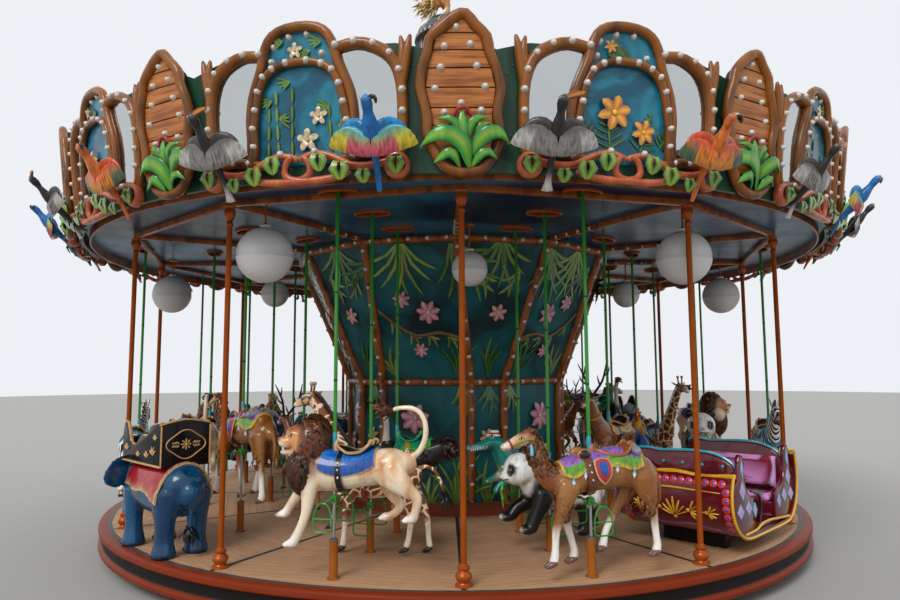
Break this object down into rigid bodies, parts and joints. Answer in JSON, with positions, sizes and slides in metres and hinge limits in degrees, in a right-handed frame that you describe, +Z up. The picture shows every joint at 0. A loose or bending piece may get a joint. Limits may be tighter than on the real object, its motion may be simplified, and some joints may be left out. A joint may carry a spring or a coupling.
{
  "type": "fairground carousel",
  "caption": "Jungle fairground carousel with a turning deck, rising animal figures, chariots, elephants and a leaning scenery cornice.",
  "frame": {"origin": "on the ground in the middle of the base", "axes": "+Z up along the turning axis, -Y towards the front pole"},
  "size_m": [11.1836, 11.1836, 9.0319],
  "materials": {
    "steel_grey": "satin",
    "deck_board": "satin",
    "rim_copper": "gloss",
    "kerb_brown": "gloss",
    "scenery_teal": "gloss",
    "ceiling_navy": "gloss",
    "frame_brown": "gloss",
    "roof_tan": "satin",
    "dome_dark": "gloss",
    "horse_tan": "gloss",
    "elephant_blue": "gloss",
    "chariot_burgundy": "gloss",
    "pole_copper": "satin",
    "pole_green": "gloss",
    "rod_silver": "polished",
    "lion_cream": "gloss",
    "giraffe_tan": "gloss",
    "camel_brown": "satin",
    "panda_white": "gloss",
    "zebra_white": "gloss",
    "deer_brown": "gloss",
    "ostrich_black": "gloss",
    "rooster_blue": "gloss",
    "crocodile_teal": "gloss",
    "globe_white": "matte",
    "bulb_white": "gloss",
    "mirror_glass": "polished",
    "leaf_green": "gloss",
    "vine_red": "gloss",
    "plank_orange": "satin",
    "gold_trim": "gloss",
    "leather_brown": "satin",
    "cloth_blue": "gloss",
    "cloth_red": "gloss",
    "black_trim": "gloss",
    "picture_teal": "gloss",
    "seat_pink": "satin",
    "bird_paint": "gloss"
  },
  "bodies": {
    "base": {"base_frame": "steel_grey"},
    "ride": {"deck_east": "deck_board", "deck_west": "deck_board", "deck_rim": "rim_copper", "drum_kerb": "kerb_brown", "drum_lower_wall": "scenery_teal", "drum_upper_wall": "scenery_teal", "outer_pole_1": "pole_copper", "outer_pole_2": "pole_copper", "outer_pole_3": "pole_copper", "outer_pole_4": "pole_copper", "outer_pole_5": "pole_copper", "outer_pole_6": "pole_copper", "outer_pole_7": "pole_copper", "outer_pole_8": "pole_copper", "outer_pole_9": "pole_copper", "outer_pole_10": "pole_copper", "outer_pole_11": "pole_copper", "outer_pole_12": "pole_copper", "ceiling": "ceiling_navy", "cornice": "frame_brown", "roof": "roof_tan", "cupola": "dome_dark", "top_horse": "horse_tan", "elephant_1": "elephant_blue", "elephant_2": "elephant_blue", "chariot_1": "chariot_burgundy", "chariot_2": "chariot_burgundy"},
    "lion_1_riser": {"lion_1": "lion_cream"},
    "giraffe_1_riser": {"giraffe_1": "giraffe_tan"},
    "ostrich_1_riser": {"ostrich_1": "ostrich_black"},
    "camel_1_riser": {"camel_1": "camel_brown"},
    "panda_1_riser": {"panda_1": "panda_white"},
    "crocodile_1_riser": {"crocodile_1": "crocodile_teal"},
    "deer_1_riser": {"deer_1": "deer_brown"},
    "zebra_1_riser": {"zebra_1": "zebra_white"},
    "panda_2_riser": {"panda_2": "panda_white"},
    "rooster_1_riser": {"rooster_1": "rooster_blue"},
    "lion_2_riser": {"lion_2": "lion_cream"},
    "giraffe_2_riser": {"giraffe_2": "giraffe_tan"},
    "ostrich_2_riser": {"ostrich_2": "ostrich_black"},
    "camel_2_riser": {"camel_2": "camel_brown"},
    "deer_2_riser": {"deer_2": "deer_brown"},
    "camel_3_riser": {"camel_3": "camel_brown"},
    "zebra_2_riser": {"zebra_2": "zebra_white"},
    "crocodile_2_riser": {"crocodile_2": "crocodile_teal"},
    "lion_3_riser": {"lion_3": "lion_cream"},
    "giraffe_3_riser": {"giraffe_3": "giraffe_tan"},
    "ostrich_3_riser": {"ostrich_3": "ostrich_black"},
    "rooster_2_riser": {"rooster_2": "rooster_blue"},
    "zebra_3_riser": {"zebra_3": "zebra_white"},
    "panda_3_riser": {"panda_3": "panda_white"},
    "crocodile_3_riser": {"crocodile_3": "crocodile_teal"},
    "zebra_4_riser": {"zebra_4": "zebra_white"},
    "lion_4_riser": {"lion_4": "lion_cream"},
    "rooster_3_riser": {"rooster_3": "rooster_blue"},
    "camel_4_riser": {"camel_4": "camel_brown"},
    "deer_3_riser": {"deer_3": "deer_brown"}
  },
  "joints": [
    {"name": "ride_turn", "type": "hinge", "parent": "base", "child": "ride", "pos_m": [0, 0, 0.33], "axis": [0, 0, 1], "continuous": true},
    {"name": "lion_1_gallop", "type": "slide", "parent": "ride", "child": "lion_1_riser", "axis": [0, 0, 1], "range_m": [-0.24, 0]},
    {"name": "giraffe_1_gallop", "type": "slide", "parent": "ride", "child": "giraffe_1_riser", "axis": [0, 0, 1], "range_m": [0, 0.24]},
    {"name": "ostrich_1_gallop", "type": "slide", "parent": "ride", "child": "ostrich_1_riser", "axis": [0, 0, 1], "range_m": [0, 0.24]},
    {"name": "camel_1_gallop", "type": "slide", "parent": "ride", "child": "camel_1_riser", "axis": [0, 0, 1], "range_m": [0, 0.24]},
    {"name": "panda_1_gallop", "type": "slide", "parent": "ride", "child": "panda_1_riser", "axis": [0, 0, 1], "range_m": [0, 0.24]},
    {"name": "crocodile_1_gallop", "type": "slide", "parent": "ride", "child": "crocodile_1_riser", "axis": [0, 0, 1], "range_m": [0, 0.24]},
    {"name": "deer_1_gallop", "type": "slide", "parent": "ride", "child": "deer_1_riser", "axis": [0, 0, 1], "range_m": [-0.24, 0]},
    {"name": "zebra_1_gallop", "type": "slide", "parent": "ride", "child": "zebra_1_riser", "axis": [0, 0, 1], "range_m": [-0.24, 0]},
    {"name": "panda_2_gallop", "type": "slide", "parent": "ride", "child": "panda_2_riser", "axis": [0, 0, 1], "range_m": [-0.24, 0]},
    {"name": "rooster_1_gallop", "type": "slide", "parent": "ride", "child": "rooster_1_riser", "axis": [0, 0, 1], "range_m": [0, 0.24]},
    {"name": "lion_2_gallop", "type": "slide", "parent": "ride", "child": "lion_2_riser", "axis": [0, 0, 1], "range_m": [-0.24, 0]},
    {"name": "giraffe_2_gallop", "type": "slide", "parent": "ride", "child": "giraffe_2_riser", "axis": [0, 0, 1], "range_m": [0, 0.24]},
    {"name": "ostrich_2_gallop", "type": "slide", "parent": "ride", "child": "ostrich_2_riser", "axis": [0, 0, 1], "range_m": [-0.24, 0]},
    {"name": "camel_2_gallop", "type": "slide", "parent": "ride", "child": "camel_2_riser", "axis": [0, 0, 1], "range_m": [-0.24, 0]},
    {"name": "deer_2_gallop", "type": "slide", "parent": "ride", "child": "deer_2_riser", "axis": [0, 0, 1], "range_m": [0, 0.24]},
    {"name": "camel_3_gallop", "type": "slide", "parent": "ride", "child": "camel_3_riser", "axis": [0, 0, 1], "range_m": [0, 0.24]},
    {"name": "zebra_2_gallop", "type": "slide", "parent": "ride", "child": "zebra_2_riser", "axis": [0, 0, 1], "range_m": [-0.24, 0]},
    {"name": "crocodile_2_gallop", "type": "slide", "parent": "ride", "child": "crocodile_2_riser", "axis": [0, 0, 1], "range_m": [0, 0.24]},
    {"name": "lion_3_gallop", "type": "slide", "parent": "ride", "child": "lion_3_riser", "axis": [0, 0, 1], "range_m": [-0.24, 0]},
    {"name": "giraffe_3_gallop", "type": "slide", "parent": "ride", "child": "giraffe_3_riser", "axis": [0, 0, 1], "range_m": [0, 0.24]},
    {"name": "ostrich_3_gallop", "type": "slide", "parent": "ride", "child": "ostrich_3_riser", "axis": [0, 0, 1], "range_m": [0, 0.24]},
    {"name": "rooster_2_gallop", "type": "slide", "parent": "ride", "child": "rooster_2_riser", "axis": [0, 0, 1], "range_m": [0, 0.24]},
    {"name": "zebra_3_gallop", "type": "slide", "parent": "ride", "child": "zebra_3_riser", "axis": [0, 0, 1], "range_m": [-0.24, 0]},
    {"name": "panda_3_gallop", "type": "slide", "parent": "ride", "child": "panda_3_riser", "axis": [0, 0, 1], "range_m": [-0.24, 0]},
    {"name": "crocodile_3_gallop", "type": "slide", "parent": "ride", "child": "crocodile_3_riser", "axis": [0, 0, 1], "range_m": [0, 0.24]},
    {"name": "zebra_4_gallop", "type": "slide", "parent": "ride", "child": "zebra_4_riser", "axis": [0, 0, 1], "range_m": [-0.24, 0]},
    {"name": "lion_4_gallop", "type": "slide", "parent": "ride", "child": "lion_4_riser", "axis": [0, 0, 1], "range_m": [-0.24, 0]},
    {"name": "rooster_3_gallop", "type": "slide", "parent": "ride", "child": "rooster_3_riser", "axis": [0, 0, 1], "range_m": [-0.24, 0]},
    {"name": "camel_4_gallop", "type": "slide", "parent": "ride", "child": "camel_4_riser", "axis": [0, 0, 1], "range_m": [-0.24, 0]},
    {"name": "deer_3_gallop", "type": "slide", "parent": "ride", "child": "deer_3_riser", "axis": [0, 0, 1], "range_m": [0, 0.24]}
  ],
  "couplings": [
    {"joint": "giraffe_1_gallop", "follows": "lion_1_gallop", "ratio": -1},
    {"joint": "ostrich_1_gallop", "follows": "lion_1_gallop", "ratio": -1},
    {"joint": "camel_1_gallop", "follows": "lion_1_gallop", "ratio": -1},
    {"joint": "panda_1_gallop", "follows": "lion_1_gallop", "ratio": -1},
    {"joint": "crocodile_1_gallop", "follows": "lion_1_gallop", "ratio": -1},
    {"joint": "deer_1_gallop", "follows": "lion_1_gallop", "ratio": 1},
    {"joint": "zebra_1_gallop", "follows": "lion_1_gallop", "ratio": 1},
    {"joint": "panda_2_gallop", "follows": "lion_1_gallop", "ratio": 1},
    {"joint": "rooster_1_gallop", "follows": "lion_1_gallop", "ratio": -1},
    {"joint": "lion_2_gallop", "follows": "lion_1_gallop", "ratio": 1},
    {"joint": "giraffe_2_gallop", "follows": "lion_1_gallop", "ratio": -1},
    {"joint": "ostrich_2_gallop", "follows": "lion_1_gallop", "ratio": 1},
    {"joint": "camel_2_gallop", "follows": "lion_1_gallop", "ratio": 1},
    {"joint": "deer_2_gallop", "follows": "lion_1_gallop", "ratio": -1},
    {"joint": "camel_3_gallop", "follows": "lion_1_gallop", "ratio": -1},
    {"joint": "zebra_2_gallop", "follows": "lion_1_gallop", "ratio": 1},
    {"joint": "crocodile_2_gallop", "follows": "lion_1_gallop", "ratio": -1},
    {"joint": "lion_3_gallop", "follows": "lion_1_gallop", "ratio": 1},
    {"joint": "giraffe_3_gallop", "follows": "lion_1_gallop", "ratio": -1},
    {"joint": "ostrich_3_gallop", "follows": "lion_1_gallop", "ratio": -1},
    {"joint": "rooster_2_gallop", "follows": "lion_1_gallop", "ratio": -1},
    {"joint": "zebra_3_gallop", "follows": "lion_1_gallop", "ratio": 1},
    {"joint": "panda_3_gallop", "follows": "lion_1_gallop", "ratio": 1},
    {"joint": "crocodile_3_gallop", "follows": "lion_1_gallop", "ratio": -1},
    {"joint": "zebra_4_gallop", "follows": "lion_1_gallop", "ratio": 1},
    {"joint": "lion_4_gallop", "follows": "lion_1_gallop", "ratio": 1},
    {"joint": "rooster_3_gallop", "follows": "lion_1_gallop", "ratio": 1},
    {"joint": "camel_4_gallop", "follows": "lion_1_gallop", "ratio": 1},
    {"joint": "deer_3_gallop", "follows": "lion_1_gallop", "ratio": -1}
  ]
}
